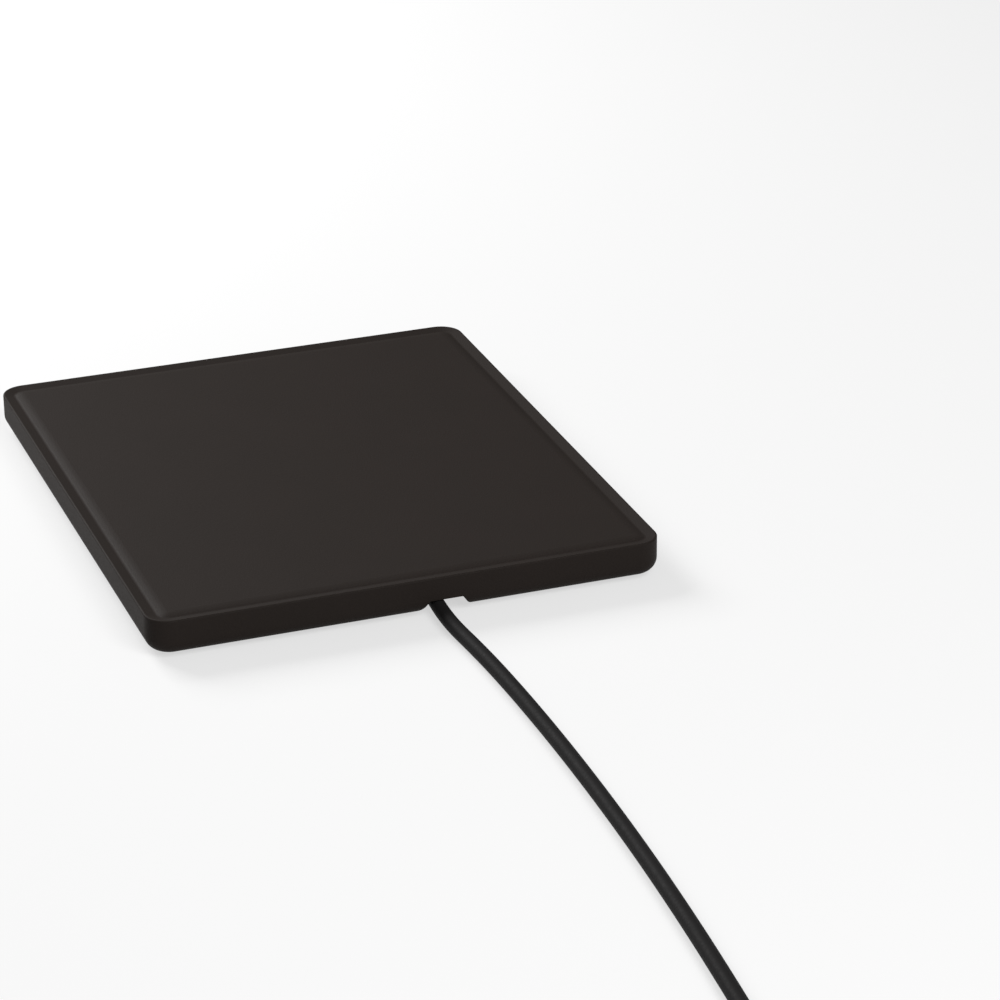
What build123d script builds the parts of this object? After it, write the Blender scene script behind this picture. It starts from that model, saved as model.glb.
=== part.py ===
"""Flat indoor television antenna: a moulded panel over stamped elements, with its coaxial lead.

Millimetres, +Z up. The origin lies on the table under the middle of the panel, and the lead leaves
the panel at its front, which is -Y.
"""
import os
from math import cos, pi, radians, sin, tan

from build123d import *

os.makedirs("parts", exist_ok=True)

# Driving dimensions of the case
panel_width = 254.0
panel_depth = 300.0
wall_height = 18.6
corner_radius = 12.0
bottom_round = 7.2
top_round = 0.8
ledge_width = 6.0
ledge_fall = 1.65
slope_width = 3.2
plateau_rise = 1.15
groove_round = 2.0
plateau_corner = 2.6
plateau_round = 12.0
skin = 2.2
lip_height = 2.0
lip_thickness = 1.2
lip_clearance = 0.2

# Driving dimensions of the feet and the case screws
foot_diameter = 16.0
foot_height = 2.0
foot_recess = 0.8
foot_inset = 24.0
foot_edge = 0.6
screw_inset = 14.0
screw_diameter = 3.0
screw_head_diameter = 5.6
screw_head_height = 2.0
screw_head_depth = 3.0
screw_tip_room = 2.0
pillar_height = 3.6
boss_diameter = 8.0
drive_slot_length = 3.2
drive_slot_width = 0.8
drive_slot_depth = 0.9
hole_clearance = 0.15

# Driving dimensions of the cable outlet
notch_x = 16.4
notch_top_width = 16.5
notch_foot_width = 25.5
notch_foot_round = 8.0
notch_top_round = 1.0
notch_drop = 0.6
outlet_width = 32.0
outlet_length = 60.0
outlet_headroom = 0.2
outlet_roof = 1.6

# Driving dimensions of the coaxial lead and what holds it inside
cord_diameter = 7.4
lead_x = 13.5
lead_seat = 0.6
grommet_wall = 1.0
grommet_flange = 0.9
grommet_flange_length = 1.5
sleeve_length = 12.0
sleeve_tip_wall = 0.7
grommet_clearance = 0.1
clamp_gap = 8.0
clamp_length = 9.0
clamp_span = 18.6
clamp_wall = 2.0
clamp_ear = 2.4
clamp_post_diameter = 6.4
jacket_gap = 7.0
dielectric_diameter = 4.6
dielectric_gap = 1.5
conductor_diameter = 1.0
conductor_proud = 1.0
pad_inset = 4.0
wire_bend = 1.2

# Driving dimensions of the balun board and the stamped elements
board_width = 64.0
board_depth = 36.0
board_thickness = 1.6
board_gap = 0.4
tab_inset = 6.0
tab_y = 10.0
tab_start = 5.5
strip_width = 10.0
sheet = 0.5
loop_gap = 6.0
loop_depth = 88.0
element_margin_x = 24.0
element_margin_y = 26.0
meander_inner_x = 30.0
meander_turn_y = 60.0
meander_end_x = 66.0
stake_post_diameter = 7.0
stake_diameter = 2.6
stake_proud = 1.2
small_screw_diameter = 2.5
small_head_diameter = 5.0
small_head_height = 1.8
small_screw_bite = 4.0
core_width = 14.0
core_depth = 12.0
core_height = 5.2
core_y = 2.0
core_hole_diameter = 2.6
core_hole_spacing = 6.0
winding_wire = 0.7
winding_offset = 0.6
winding_stack = 0.45
winding_end = 1.2
winding_leg = 1.4
capacitor_length = 3.2
capacitor_width = 1.6
capacitor_height = 1.2

# Driving dimensions of the coil, its tie and the connector on the far end
coil_x = -48.5
coil_y = -577.9
coil_outer_turn = 47.8
coil_pitch = 7.55
turns_in_layer = 2.5
layer_rise = 7.45
tie_thickness = 1.0
tie_width = 8.0
tie_room = 0.4
tie_angle = 125.0
grip_radius = 7.0
grip_length = 24.0
grip_taper = 13.0
grip_tail_wall = 1.3
grip_groove = 0.7
grip_groove_count = 3
nut_across_flats = 11.0
nut_length = 10.0
nut_thread_radius = 4.76
nut_lip_length = 2.5
nut_play = 0.25
nut_chamfer = 0.5
nut_chamfer_length = 0.9
body_collar_radius = 5.2
body_collar_length = 2.5
body_root_radius = 4.3
body_buried = 6.0
post_radius = 4.0
post_flange_length = 1.0
post_flange_radius = 4.4
running_clearance = 0.08
pin_proud = 2.2

# Levels above the table
underside = foot_height
parting = underside + bottom_round
ledge_level = underside + wall_height
groove_level = ledge_level - ledge_fall
notch_top = parting - notch_drop
plateau_level = groove_level + plateau_rise
floor_level = underside + skin
ceiling_level = plateau_level - skin
boss_end = floor_level + pillar_height
screw_seat = underside + screw_head_depth
screw_tip = ceiling_level - screw_tip_room
cord_radius = cord_diameter / 2
lead_level = floor_level + cord_radius + lead_seat
flange_radius = cord_radius + grommet_clearance + grommet_wall + grommet_flange
outlet_ceiling = lead_level + flange_radius + outlet_headroom
board_level = lead_level + conductor_diameter / 2 + board_gap
element_level = board_level + board_thickness
element_top = element_level + sheet

# Places in plan
rim_thickness = skin + lip_clearance + lip_thickness
rim_width = ledge_width + slope_width
groove_corner = plateau_corner + slope_width
front = -panel_depth / 2
outlet_front = front + rim_thickness + skin
outlet_end = front + outlet_length
sleeve_tip = outlet_end - grommet_flange_length - sleeve_length
clamp_y = outlet_end + skin + grommet_flange_length + clamp_gap
board_front = -board_depth / 2
jacket_end = board_front - jacket_gap
dielectric_end = board_front - dielectric_gap
pad_y = board_front + pad_inset
braid_x = lead_x + (cord_radius + dielectric_diameter / 2) / 2
tab_x = board_width / 2 - tab_inset
loop_inner = board_width / 2 + loop_gap
element_edge = panel_width / 2 - element_margin_x
strip_edge = element_edge - strip_width / 2
meander_back = panel_depth / 2 - element_margin_y - strip_width / 2
loop_back = -tab_y + strip_width / 2
loop_front = loop_back - loop_depth
loop_low = loop_front + strip_width / 2

corner_x = panel_width / 2 - screw_inset
corner_y = panel_depth / 2 - screw_inset
case_screw_points = [(sx * corner_x, sy * corner_y) for sx in (-1, 1) for sy in (-1, 0, 1)]
foot_points = [
    (sx * (panel_width / 2 - foot_inset), sy * (panel_depth / 2 - foot_inset))
    for sx in (-1, 1)
    for sy in (-1, 1)
]
tab_points = [(sx * tab_x, sy * tab_y) for sx in (-1, 1) for sy in (-1, 1)]
clamp_points = [(lead_x - clamp_span / 2, clamp_y), (lead_x + clamp_span / 2, clamp_y)]
loop_stakes = [
    (strip_edge, -tab_y),
    (strip_edge, loop_low),
    (loop_inner + strip_width / 2, loop_low),
]
meander_stakes = [
    (strip_edge, tab_y),
    (strip_edge, meander_back),
    (meander_inner_x, meander_back),
    (meander_end_x - strip_width / 2, meander_turn_y),
]
stake_points = [(side * x, y) for side in (-1, 1) for x, y in loop_stakes + meander_stakes]


def save(piece, name):
    """Labels a finished piece and writes it to its own file."""
    piece.part.label = name
    export_step(piece.part, f"parts/{name}.step")


# Top cover: a ledge falls from the walls' top to a groove round the plateau, with screw bosses inside
with BuildPart() as top_cover:
    with BuildSketch(Plane.XY.offset(parting)):
        RectangleRounded(panel_width, panel_depth, corner_radius)
    extrude(amount=ledge_level - parting)
    with BuildSketch(Plane.XY.offset(ledge_level)):
        RectangleRounded(panel_width, panel_depth, corner_radius)
    with BuildSketch(Plane.XY.offset(groove_level)):
        RectangleRounded(panel_width - 2 * ledge_width, panel_depth - 2 * ledge_width, groove_corner)
    loft(ruled=True, mode=Mode.SUBTRACT)
    fillet(top_cover.edges().filter_by_position(Axis.Z, ledge_level, ledge_level), radius=top_round)
    with BuildSketch(Plane.XY.offset(groove_level)):
        RectangleRounded(panel_width - 2 * ledge_width, panel_depth - 2 * ledge_width, groove_corner)
    with BuildSketch(Plane.XY.offset(plateau_level)):
        RectangleRounded(panel_width - 2 * rim_width, panel_depth - 2 * rim_width, plateau_corner)
    loft(ruled=True)
    fillet(top_cover.edges().filter_by_position(Axis.Z, plateau_level, plateau_level), radius=plateau_round)
    fillet(top_cover.edges().filter_by_position(Axis.Z, groove_level, groove_level), radius=groove_round)
    with BuildSketch(Plane.XY.offset(parting)):
        RectangleRounded(panel_width - 2 * skin, panel_depth - 2 * skin, corner_radius - skin)
    extrude(amount=groove_level - skin - parting, mode=Mode.SUBTRACT)
    with BuildSketch(Plane.XY.offset(groove_level - skin)):
        RectangleRounded(
            panel_width - 2 * (rim_width + skin), panel_depth - 2 * (rim_width + skin), plateau_corner
        )
    extrude(amount=plateau_level - groove_level, mode=Mode.SUBTRACT)
    with BuildSketch(Plane.XY.offset(boss_end)):
        with Locations(*case_screw_points):
            Circle(boss_diameter / 2)
    extrude(amount=ceiling_level - boss_end)
    with BuildSketch(Plane.XY.offset(boss_end)):
        with Locations(*case_screw_points):
            Circle(screw_diameter / 2 + hole_clearance)
    extrude(amount=screw_tip + hole_clearance - boss_end, mode=Mode.SUBTRACT)
save(top_cover, "top_cover")

# Hollow of the bottom cover, rounded at the foot of its walls
with BuildPart() as tray_hollow:
    with BuildSketch(Plane.XY.offset(floor_level)):
        RectangleRounded(
            panel_width - 2 * rim_thickness, panel_depth - 2 * rim_thickness, corner_radius - rim_thickness
        )
    extrude(amount=parting + lip_height - floor_level)
    fillet(tray_hollow.faces().sort_by(Axis.Z)[0].edges(), radius=bottom_round - skin)

# Bottom cover: round-edged tray with a lip, cable outlet, screw pillars, element posts and foot seats
with BuildPart() as bottom_cover:
    with BuildSketch(Plane.XY.offset(underside)):
        RectangleRounded(panel_width, panel_depth, corner_radius)
    extrude(amount=bottom_round + lip_height)
    fillet(bottom_cover.faces().sort_by(Axis.Z)[0].edges(), radius=bottom_round)
    with BuildSketch(Plane.XY.offset(parting)):
        lip_inset = skin + lip_clearance
        Rectangle(panel_width + skin, panel_depth + skin)
        RectangleRounded(
            panel_width - 2 * lip_inset, panel_depth - 2 * lip_inset, corner_radius - lip_inset,
            mode=Mode.SUBTRACT,
        )
    extrude(amount=lip_height, mode=Mode.SUBTRACT)
    add(tray_hollow.part, mode=Mode.SUBTRACT)
    # roof over the notch, then the taller housing of the outlet behind it
    with BuildSketch(Plane.XY.offset(floor_level)):
        with Locations((notch_x, front + rim_thickness)):
            Rectangle(
                outlet_width + 2 * skin, outlet_front - front - rim_thickness,
                align=(Align.CENTER, Align.MIN),
            )
    extrude(amount=parting + skin - floor_level)
    with BuildSketch(Plane.XY.offset(floor_level)):
        with Locations((notch_x, outlet_front - skin)):
            Rectangle(
                outlet_width + 2 * skin, outlet_end + 2 * skin - outlet_front,
                align=(Align.CENTER, Align.MIN),
            )
    extrude(amount=outlet_ceiling + outlet_roof - floor_level)
    with BuildSketch(Plane.XY.offset(underside)):
        with Locations((notch_x, outlet_front)):
            Rectangle(outlet_width, outlet_end - outlet_front, align=(Align.CENTER, Align.MIN))
    extrude(amount=outlet_ceiling - underside, mode=Mode.SUBTRACT)
    with BuildSketch(Plane.XZ.offset(-front)):
        below = underside - skin
        half_top = notch_top_width / 2
        half_foot = notch_foot_width / 2
        half_wide = half_foot + 2 * notch_foot_round
        with BuildLine():
            Polyline(
                (notch_x - half_wide, below), (notch_x + half_wide, below),
                (notch_x + half_wide, underside), (notch_x + half_foot, underside),
                (notch_x + half_top, notch_top), (notch_x - half_top, notch_top),
                (notch_x - half_foot, underside), (notch_x - half_wide, underside),
                close=True,
            )
        notch_profile = make_face()
        # the sketch's own Y is the height
        inner_corners = [
            v for v in notch_profile.vertices()
            if abs(v.Y - underside) < 0.01 and abs(abs(v.X - notch_x) - half_foot) < 0.01
        ]
        flared = fillet(inner_corners, radius=notch_foot_round)
        top_corners = [v for v in flared.vertices() if abs(v.Y - notch_top) < 0.01]
        fillet(top_corners, radius=notch_top_round)
    extrude(amount=front - outlet_front, mode=Mode.SUBTRACT)
    with BuildSketch(Plane.XZ.offset(-outlet_end)):
        with Locations((lead_x, lead_level)):
            Circle(cord_radius + 2 * grommet_clearance + grommet_wall)
    extrude(amount=-skin, mode=Mode.SUBTRACT)
    # pillars for the case screws, and the recesses of their heads
    with BuildSketch(Plane.XY.offset(floor_level)):
        with Locations(*case_screw_points):
            Circle(boss_diameter / 2)
    extrude(amount=pillar_height)
    with BuildSketch(Plane.XY.offset(underside)):
        with Locations(*case_screw_points):
            Circle(screw_head_diameter / 2 + 2 * hole_clearance)
    extrude(amount=screw_head_depth, mode=Mode.SUBTRACT)
    with BuildSketch(Plane.XY.offset(screw_seat)):
        with Locations(*case_screw_points):
            Circle(screw_diameter / 2 + hole_clearance)
    extrude(amount=boss_end - screw_seat, mode=Mode.SUBTRACT)
    # seats of the feet
    with BuildSketch(Plane.XY.offset(underside)):
        with Locations(*foot_points):
            Circle(foot_diameter / 2 + hole_clearance)
    extrude(amount=foot_recess, mode=Mode.SUBTRACT)
    # posts under the board, the elements and the clamp, and the stakes that hold the elements
    with BuildSketch(Plane.XY.offset(floor_level)):
        with Locations(*tab_points):
            Circle(stake_post_diameter / 2)
    extrude(amount=board_level - floor_level)
    with BuildSketch(Plane.XY.offset(floor_level)):
        with Locations(*stake_points):
            Circle(stake_post_diameter / 2)
    extrude(amount=element_level - floor_level)
    with BuildSketch(Plane.XY.offset(element_level)):
        with Locations(*stake_points):
            Circle(stake_diameter / 2)
    extrude(amount=sheet + stake_proud)
    with BuildSketch(Plane.XY.offset(floor_level)):
        with Locations(*clamp_points):
            Circle(clamp_post_diameter / 2)
    extrude(amount=lead_level - floor_level)
    for points, level in ((tab_points, board_level), (clamp_points, lead_level)):
        with BuildSketch(Plane.XY.offset(level)):
            with Locations(*points):
                Circle(small_screw_diameter / 2 + hole_clearance)
        extrude(amount=-(small_screw_bite + hole_clearance), mode=Mode.SUBTRACT)
save(bottom_cover, "bottom_cover")

# Rubber feet pressed into their seats
with BuildPart() as rubber_feet:
    with BuildSketch():
        with Locations(*foot_points):
            Circle(foot_diameter / 2)
    extrude(amount=foot_height + foot_recess)
    fillet(rubber_feet.edges().group_by(Axis.Z)[0], radius=foot_edge)
save(rubber_feet, "rubber_feet")

# Case screws, driven from below
with BuildPart() as case_screws:
    with BuildSketch(Plane.XY.offset(screw_seat)):
        with Locations(*case_screw_points):
            Circle(screw_head_diameter / 2)
    extrude(amount=-screw_head_height)
    fillet(case_screws.edges().group_by(Axis.Z)[0], radius=screw_head_height / 4)
    with BuildSketch(Plane.XY.offset(screw_seat)):
        with Locations(*case_screw_points):
            Circle(screw_diameter / 2)
    extrude(amount=screw_tip - screw_seat)
    with BuildSketch(Plane.XY.offset(screw_seat - screw_head_height)):
        with Locations(*case_screw_points):
            Rectangle(drive_slot_length, drive_slot_width)
            Rectangle(drive_slot_width, drive_slot_length)
    extrude(amount=drive_slot_depth, mode=Mode.SUBTRACT)
save(case_screws, "case_screws")

# Stamped elements: a square loop and a folded strip on each side of the board
for side, hand in ((-1, "left"), (1, "right")):
    with BuildPart() as loop_element:
        with BuildSketch(Plane.XY.offset(element_level)):
            loop_width = element_edge - loop_inner
            loop_middle = (side * (loop_inner + element_edge) / 2, (loop_front + loop_back) / 2)
            with Locations(loop_middle):
                Rectangle(loop_width, loop_depth)
                Rectangle(loop_width - 2 * strip_width, loop_depth - 2 * strip_width, mode=Mode.SUBTRACT)
            tab_length = loop_inner - tab_x + tab_start
            with Locations((side * (loop_inner - tab_length / 2), -tab_y)):
                Rectangle(tab_length, strip_width)
            with Locations((side * tab_x, -tab_y)):
                Circle(small_screw_diameter / 2 + hole_clearance, mode=Mode.SUBTRACT)
            with Locations(*[(side * x, y) for x, y in loop_stakes]):
                Circle(stake_diameter / 2 + hole_clearance, mode=Mode.SUBTRACT)
        extrude(amount=sheet)
    save(loop_element, f"uhf_element_{hand}")

    with BuildPart() as strip_element:
        bends = [
            (tab_x - tab_start + strip_width / 2, tab_y),
            (strip_edge, tab_y),
            (strip_edge, meander_back),
            (meander_inner_x, meander_back),
            (meander_inner_x, meander_turn_y),
            (meander_end_x - strip_width / 2, meander_turn_y),
        ]
        with BuildSketch(Plane.XY.offset(element_level)):
            for (x0, y0), (x1, y1) in zip(bends, bends[1:]):
                with Locations((side * (x0 + x1) / 2, (y0 + y1) / 2)):
                    Rectangle(abs(x1 - x0) + strip_width, abs(y1 - y0) + strip_width)
            with Locations((side * tab_x, tab_y)):
                Circle(small_screw_diameter / 2 + hole_clearance, mode=Mode.SUBTRACT)
            with Locations(*[(side * x, y) for x, y in meander_stakes]):
                Circle(stake_diameter / 2 + hole_clearance, mode=Mode.SUBTRACT)
        extrude(amount=sheet)
    save(strip_element, f"vhf_element_{hand}")

# Balun board with its screw holes and the two holes of the lead's wires
with BuildPart() as balun_board:
    with BuildSketch(Plane.XY.offset(board_level)):
        Rectangle(board_width, board_depth)
        with Locations(*tab_points):
            Circle(small_screw_diameter / 2 + hole_clearance, mode=Mode.SUBTRACT)
        with Locations((lead_x, pad_y), (braid_x, pad_y)):
            Circle(conductor_diameter / 2 + hole_clearance, mode=Mode.SUBTRACT)
    extrude(amount=board_thickness)
save(balun_board, "balun_board")

# Two-hole ferrite core on the board
core_hole_level = element_level + core_height / 2
with BuildPart() as balun_core:
    with BuildSketch(Plane.XZ.offset(-(core_y - core_depth / 2))):
        with Locations((0, core_hole_level)):
            RectangleRounded(core_width, core_height, core_height / 4)
            with Locations((-core_hole_spacing / 2, 0), (core_hole_spacing / 2, 0)):
                Circle(core_hole_diameter / 2, mode=Mode.SUBTRACT)
    extrude(amount=-core_depth)
save(balun_core, "balun_core")

# Two hairpin windings through the core, with legs down to the board at opposite ends
for end, lift, name in ((-1, winding_stack, "primary_winding"), (1, -winding_stack, "secondary_winding")):
    reach = core_depth / 2 + winding_end
    wire_x = core_hole_spacing / 2 - winding_offset
    wire_level = core_hole_level + lift
    leg_y = core_y + end * (reach + winding_leg)
    turn_y = core_y - end * reach
    with BuildPart() as winding:
        with BuildLine() as wire_path:
            FilletPolyline(
                (-wire_x, leg_y, element_level), (-wire_x, leg_y, wire_level),
                (-wire_x, turn_y, wire_level), (wire_x, turn_y, wire_level),
                (wire_x, leg_y, wire_level), (wire_x, leg_y, element_level),
                radius=wire_bend,
            )
        with BuildSketch(Plane(origin=wire_path.line @ 0, z_dir=wire_path.line % 0)):
            Circle(winding_wire / 2)
        sweep(path=wire_path.line)
    save(winding, name)

# Chip capacitors of the matching network
with BuildPart() as matching_capacitors:
    capacitor_x = (core_width / 2 + tab_x - tab_start) / 2
    with BuildSketch(Plane.XY.offset(element_level)):
        with Locations((-capacitor_x, -tab_y), (-capacitor_x, tab_y), (capacitor_x, tab_y)):
            Rectangle(capacitor_length, capacitor_width)
    extrude(amount=capacitor_height)
save(matching_capacitors, "matching_capacitors")

# Screws that hold the element tabs and the board, and those of the clamp
small_screw_sets = (
    ("element_screws", tab_points, element_top, board_level),
    ("clamp_screws", clamp_points, lead_level + clamp_ear, lead_level),
)
for name, points, seat, bite_from in small_screw_sets:
    with BuildPart() as small_screws:
        with BuildSketch(Plane.XY.offset(seat)):
            with Locations(*points):
                Circle(small_head_diameter / 2)
        extrude(amount=small_head_height)
        with BuildSketch(Plane.XY.offset(seat)):
            with Locations(*points):
                Circle(small_screw_diameter / 2)
        extrude(amount=bite_from - small_screw_bite - seat)
        with BuildSketch(Plane.XY.offset(seat + small_head_height)):
            with Locations(*points):
                Rectangle(drive_slot_length, drive_slot_width)
                Rectangle(drive_slot_width, drive_slot_length)
        extrude(amount=-drive_slot_depth, mode=Mode.SUBTRACT)
    save(small_screws, name)

# Saddle clamp over the lead
with BuildPart() as cord_clamp:
    with BuildSketch(Plane.XZ.offset(-(clamp_y - clamp_length / 2))):
        with Locations((lead_x, lead_level)):
            Rectangle(
                clamp_span + clamp_post_diameter, clamp_ear, align=(Align.CENTER, Align.MIN)
            )
            Circle(cord_radius + grommet_clearance + clamp_wall)
            Rectangle(
                2 * (clamp_span + clamp_post_diameter), 2 * (cord_radius + clamp_wall + clamp_ear),
                align=(Align.CENTER, Align.MAX), mode=Mode.SUBTRACT,
            )
            Circle(cord_radius + grommet_clearance, mode=Mode.SUBTRACT)
    extrude(amount=-clamp_length)
    with BuildSketch(Plane.XY.offset(lead_level)):
        with Locations(*clamp_points):
            Circle(small_screw_diameter / 2 + hole_clearance)
    extrude(amount=clamp_ear, mode=Mode.SUBTRACT)
save(cord_clamp, "cord_clamp")

# Grommet: a flanged bush in the outlet's end wall, with a tapered sleeve along the lead
bush_radius = cord_radius + grommet_clearance + grommet_wall
with BuildPart() as cord_grommet:
    with BuildSketch(Plane.YZ.offset(lead_x)):
        bore = lead_level + cord_radius + grommet_clearance
        with BuildLine():
            Polyline(
                (sleeve_tip, bore), (sleeve_tip, bore + sleeve_tip_wall),
                (outlet_end - grommet_flange_length, lead_level + bush_radius),
                (outlet_end - grommet_flange_length, lead_level + flange_radius),
                (outlet_end, lead_level + flange_radius), (outlet_end, lead_level + bush_radius),
                (outlet_end + skin, lead_level + bush_radius),
                (outlet_end + skin, lead_level + flange_radius),
                (outlet_end + skin + grommet_flange_length, lead_level + flange_radius),
                (outlet_end + skin + grommet_flange_length, bore),
                close=True,
            )
        make_face()
    revolve(axis=Axis((lead_x, 0, lead_level), (0, 1, 0)))
    # the inner flange is flat where it stands on the floor
    with BuildSketch(Plane.XY.offset(floor_level + grommet_clearance)):
        with Locations((lead_x, outlet_end + skin)):
            Rectangle(2 * flange_radius, 2 * grommet_flange_length, align=(Align.CENTER, Align.MIN))
    extrude(amount=-flange_radius, mode=Mode.SUBTRACT)
save(cord_grommet, "cord_grommet")

# Lead inside the case: jacket, bared insulation and the two wires that go up through the board
for name, radius, start, end in (
    ("inner_lead", cord_radius, sleeve_tip, jacket_end),
    ("coax_dielectric", dielectric_diameter / 2, jacket_end, dielectric_end),
):
    with BuildPart() as lead_piece:
        with BuildSketch(Plane.XZ.offset(-start)):
            with Locations((lead_x, lead_level)):
                Circle(radius)
        extrude(amount=start - end)
    save(lead_piece, name)

for name, wire_place, start in (
    ("coax_conductor", lead_x, dielectric_end),
    ("coax_braid", braid_x, jacket_end),
):
    with BuildPart() as lead_wire:
        with BuildLine() as wire_path:
            FilletPolyline(
                (wire_place, start, lead_level), (wire_place, pad_y, lead_level),
                (wire_place, pad_y, element_level + conductor_proud),
                radius=wire_bend,
            )
        with BuildSketch(Plane(origin=wire_path.line @ 0, z_dir=wire_path.line % 0)):
            Circle(conductor_diameter / 2)
        sweep(path=wire_path.line)
    save(lead_wire, name)

# Coil: two flat layers of turns that lie on the tie; the lead joins the lower and the tail the upper
coil_level = tie_thickness + cord_radius
coil_inner_turn = coil_outer_turn - coil_pitch * turns_in_layer
coil_height = layer_rise + cord_diameter
coil_span = coil_outer_turn - coil_inner_turn + cord_diameter
coil_middle = (coil_outer_turn + coil_inner_turn) / 2


def on_outer_turn(angle, level):
    """The point of the coil's outer turn at an angle in degrees and a level above the table."""
    return Vector(
        coil_x + coil_outer_turn * cos(radians(angle)), coil_y + coil_outer_turn * sin(radians(angle)), level
    )


# Free lead: out of the grommet, down through the notch and along the table to the coil
lead_route = [
    Vector(lead_x, sleeve_tip, lead_level),
    Vector(lead_x, sleeve_tip - 9.0, lead_level),
    Vector(13.4, -124.0, 7.0),
    Vector(13.5, -138.0, 5.0),
    Vector(12.8, -153.0, 4.15),
    Vector(12.95, -170.0, cord_radius + 0.1),
    Vector(14.85, -191.0, cord_radius),
    Vector(16.4, -216.0, cord_radius),
    Vector(17.5, -252.0, cord_radius),
    Vector(17.8, -298.0, cord_radius),
    Vector(16.9, -350.0, cord_radius),
    Vector(14.75, -404.0, cord_radius),
    Vector(11.35, -458.0, cord_radius),
    Vector(7.15, -508.0, cord_radius + 0.05),
    Vector(3.1, -548.0, cord_radius + 0.4),
    on_outer_turn(-6.5, coil_level),
]
# Tail: off the top of the coil and down to the connector
grip_start = Vector(-88.5, -630.4, grip_radius)
tail_route = [
    on_outer_turn(-84.0, coil_level + layer_rise),
    Vector(-54.5, -627.1, 12.1),
    Vector(-65.5, -629.4, 9.8),
    Vector(-76.5, grip_start.Y, grip_start.Z),
    grip_start,
]


def bend_radii(route):
    """The radius of the arc at each inner point of a route, as large as its two runs allow."""
    radii = []
    for before, corner, after in zip(route, route[1:], route[2:]):
        run_in = corner - before
        run_out = after - corner
        half_turn = radians(run_in.get_angle(run_out)) / 2
        radii.append(0.45 * min(run_in.length, run_out.length) / tan(half_turn))
    return radii


for name, route in (("cord_lead", lead_route), ("cord_tail", tail_route)):
    radii = bend_radii(route)
    with BuildPart() as cord_tube:
        with BuildLine() as cord_path:
            FilletPolyline(*route, radius=radii)
        with BuildSketch(Plane(origin=cord_path.line @ 0, z_dir=cord_path.line % 0)):
            Circle(cord_radius)
        sweep(path=cord_path.line)
    length = cord_path.wire().length
    expected = pi * cord_radius ** 2 * length
    print(name, "length", round(length, 1), "radii", [round(r) for r in radii])
    print(name, "volume over section times length", round(cord_tube.part.volume / expected, 4))
    save(cord_tube, name)

# The coil's outer shape as one closed ring
with BuildPart() as cord_coil:
    with BuildSketch(Plane.XZ.offset(-coil_y)):
        with Locations((coil_x + coil_middle, tie_thickness + coil_height / 2)):
            RectangleRounded(coil_span, coil_height, cord_radius)
    revolve(axis=Axis((coil_x, coil_y, 0), (0, 0, 1)))
save(cord_coil, "cord_coil")

# Strap that ties the coil
tie_direction = Vector(cos(radians(tie_angle)), sin(radians(tie_angle)), 0)
tie_plane = Plane(
    origin=Vector(coil_x, coil_y, tie_thickness + coil_height / 2) + tie_direction * coil_middle,
    x_dir=tie_direction,
    z_dir=Vector(-tie_direction.Y, tie_direction.X, 0),
)
with BuildPart() as cord_tie:
    with BuildSketch(tie_plane):
        RectangleRounded(
            coil_span + 2 * (tie_room + tie_thickness), coil_height + 2 * tie_thickness,
            cord_radius + tie_thickness,
        )
        RectangleRounded(coil_span + 2 * tie_room, coil_height, cord_radius, mode=Mode.SUBTRACT)
    extrude(amount=tie_width / 2, both=True)
save(cord_tie, "cord_tie")

# Connector, turned about an axis along -X; distances run from the tail end of its grip
collar_end = grip_length + body_collar_length
nut_start = collar_end + nut_play
lip_end = nut_start + nut_lip_length
post_end = lip_end + nut_play + post_flange_length
nut_end = nut_start + nut_length
connector_plane = Plane(origin=grip_start, x_dir=(-1, 0, 0), z_dir=(0, -1, 0))
connector_axis = Axis(grip_start, (-1, 0, 0))
insulator_radius = dielectric_diameter / 2
core_radius = insulator_radius + running_clearance
body_start = grip_length - body_buried

# Moulded grip, tapered towards the lead, with finger grooves and a pocket for the metal body
with BuildPart() as connector_grip:
    with BuildSketch(connector_plane):
        with BuildLine():
            Polyline(
                (0, 0), (0, cord_radius + grip_tail_wall), (grip_taper, grip_radius),
                (grip_length, grip_radius), (grip_length, body_root_radius),
                (body_start, body_root_radius), (body_start, 0),
                close=True,
            )
        make_face()
        groove_pitch = (grip_length - grip_taper) / (grip_groove_count + 1)
        for step in range(grip_groove_count):
            with Locations((grip_taper + (step + 1) * groove_pitch, grip_radius)):
                Rectangle(groove_pitch / 2, 2 * grip_groove, mode=Mode.SUBTRACT)
    revolve(axis=connector_axis)
save(connector_grip, "connector_grip")

# Metal body: the root in the grip, a collar behind the nut and the flanged post inside it
with BuildPart() as connector_body:
    with BuildSketch(connector_plane):
        with BuildLine():
            Polyline(
                (body_start, core_radius), (body_start, body_root_radius),
                (grip_length, body_root_radius), (grip_length, body_collar_radius),
                (collar_end, body_collar_radius), (collar_end, post_radius),
                (lip_end + nut_play, post_radius), (lip_end + nut_play, post_flange_radius),
                (post_end, post_flange_radius), (post_end, core_radius),
                close=True,
            )
        make_face()
    revolve(axis=connector_axis)
save(connector_body, "connector_body")

# Insulation and centre conductor, bared at the face of the post
pin_radius = conductor_diameter / 2
with BuildPart() as connector_insulator:
    with BuildSketch(connector_plane):
        with Locations((body_start, pin_radius + running_clearance)):
            Rectangle(
                post_end - body_start, insulator_radius - pin_radius - running_clearance,
                align=(Align.MIN, Align.MIN),
            )
    revolve(axis=connector_axis)
save(connector_insulator, "connector_insulator")

with BuildPart() as connector_pin:
    with BuildSketch(connector_plane):
        with Locations((body_start, 0)):
            Rectangle(nut_end + pin_proud - body_start, pin_radius, align=(Align.MIN, Align.MIN))
    revolve(axis=connector_axis)
    chamfer(connector_pin.edges().sort_by(Axis.X)[0], length=pin_radius / 2)
save(connector_pin, "connector_pin")

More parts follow.
